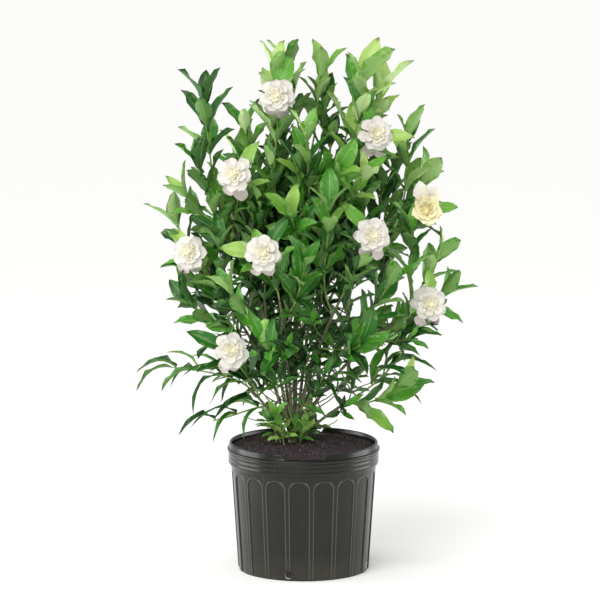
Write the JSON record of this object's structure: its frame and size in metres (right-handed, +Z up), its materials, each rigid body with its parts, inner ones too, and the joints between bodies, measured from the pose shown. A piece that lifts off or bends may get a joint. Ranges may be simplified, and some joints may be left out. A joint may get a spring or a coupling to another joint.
{
  "type": "potted flowering shrub",
  "caption": "Bushy evergreen shrub with glossy leaves and double white flowers, growing in a round fluted plastic nursery pot.",
  "frame": {"origin": "centre of the pot's underside, on the ground", "axes": "+Z up along the pot's axis, -Y the front of the plant, +X to the right seen from the front"},
  "size_m": [0.6349, 0.5003, 0.9848],
  "materials": {
    "nursery_pot": "semi-matte moulded",
    "potting_mix": "damp granular peat and bark",
    "bark": "thin fissured bark",
    "leaf": "glossy above, matt below",
    "petal": "velvety matt"
  },
  "bodies": {
    "root": {"bloom_01": "petal", "bloom_02": "petal", "bloom_03": "petal", "bloom_04": "petal", "bloom_05": "petal", "bloom_06": "petal", "bloom_07": "petal", "bloom_08": "petal", "bloom_09": "petal", "bloom_10": "petal", "bloom_11": "petal", "leafy_shoot_01": "leaf", "leafy_shoot_02": "leaf", "leafy_shoot_03": "leaf", "leafy_shoot_04": "leaf", "leafy_shoot_05": "leaf", "leafy_shoot_06": "leaf", "leafy_shoot_07": "leaf", "leafy_shoot_08": "leaf", "leafy_shoot_09": "leaf", "leafy_shoot_10": "leaf", "leafy_shoot_11": "leaf", "leafy_shoot_12": "leaf", "leafy_shoot_13": "leaf", "leafy_shoot_14": "leaf", "leafy_shoot_15": "leaf", "leafy_shoot_16": "leaf", "leafy_shoot_17": "leaf", "leafy_shoot_18": "leaf", "leafy_shoot_19": "leaf", "leafy_shoot_20": "leaf", "leafy_shoot_21": "leaf", "leafy_shoot_22": "leaf", "leafy_shoot_23": "leaf", "leafy_shoot_24": "leaf", "leafy_shoot_25": "leaf", "leafy_shoot_26": "leaf", "leafy_shoot_27": "leaf", "leafy_shoot_28": "leaf", "leafy_shoot_29": "leaf", "leafy_shoot_30": "leaf", "leafy_shoot_31": "leaf", "leafy_shoot_32": "leaf", "leafy_shoot_33": "leaf", "leafy_shoot_34": "leaf", "leafy_shoot_35": "leaf", "leafy_shoot_36": "leaf", "leafy_shoot_37": "leaf", "leafy_shoot_38": "leaf", "leafy_shoot_39": "leaf", "leafy_shoot_40": "leaf", "leafy_shoot_41": "leaf", "leafy_shoot_42": "leaf", "leafy_shoot_43": "leaf", "leafy_shoot_44": "leaf", "leafy_shoot_45": "leaf", "pot": "nursery_pot", "soil": "potting_mix", "woody_stems": "bark"}
  },
  "joints": []
}
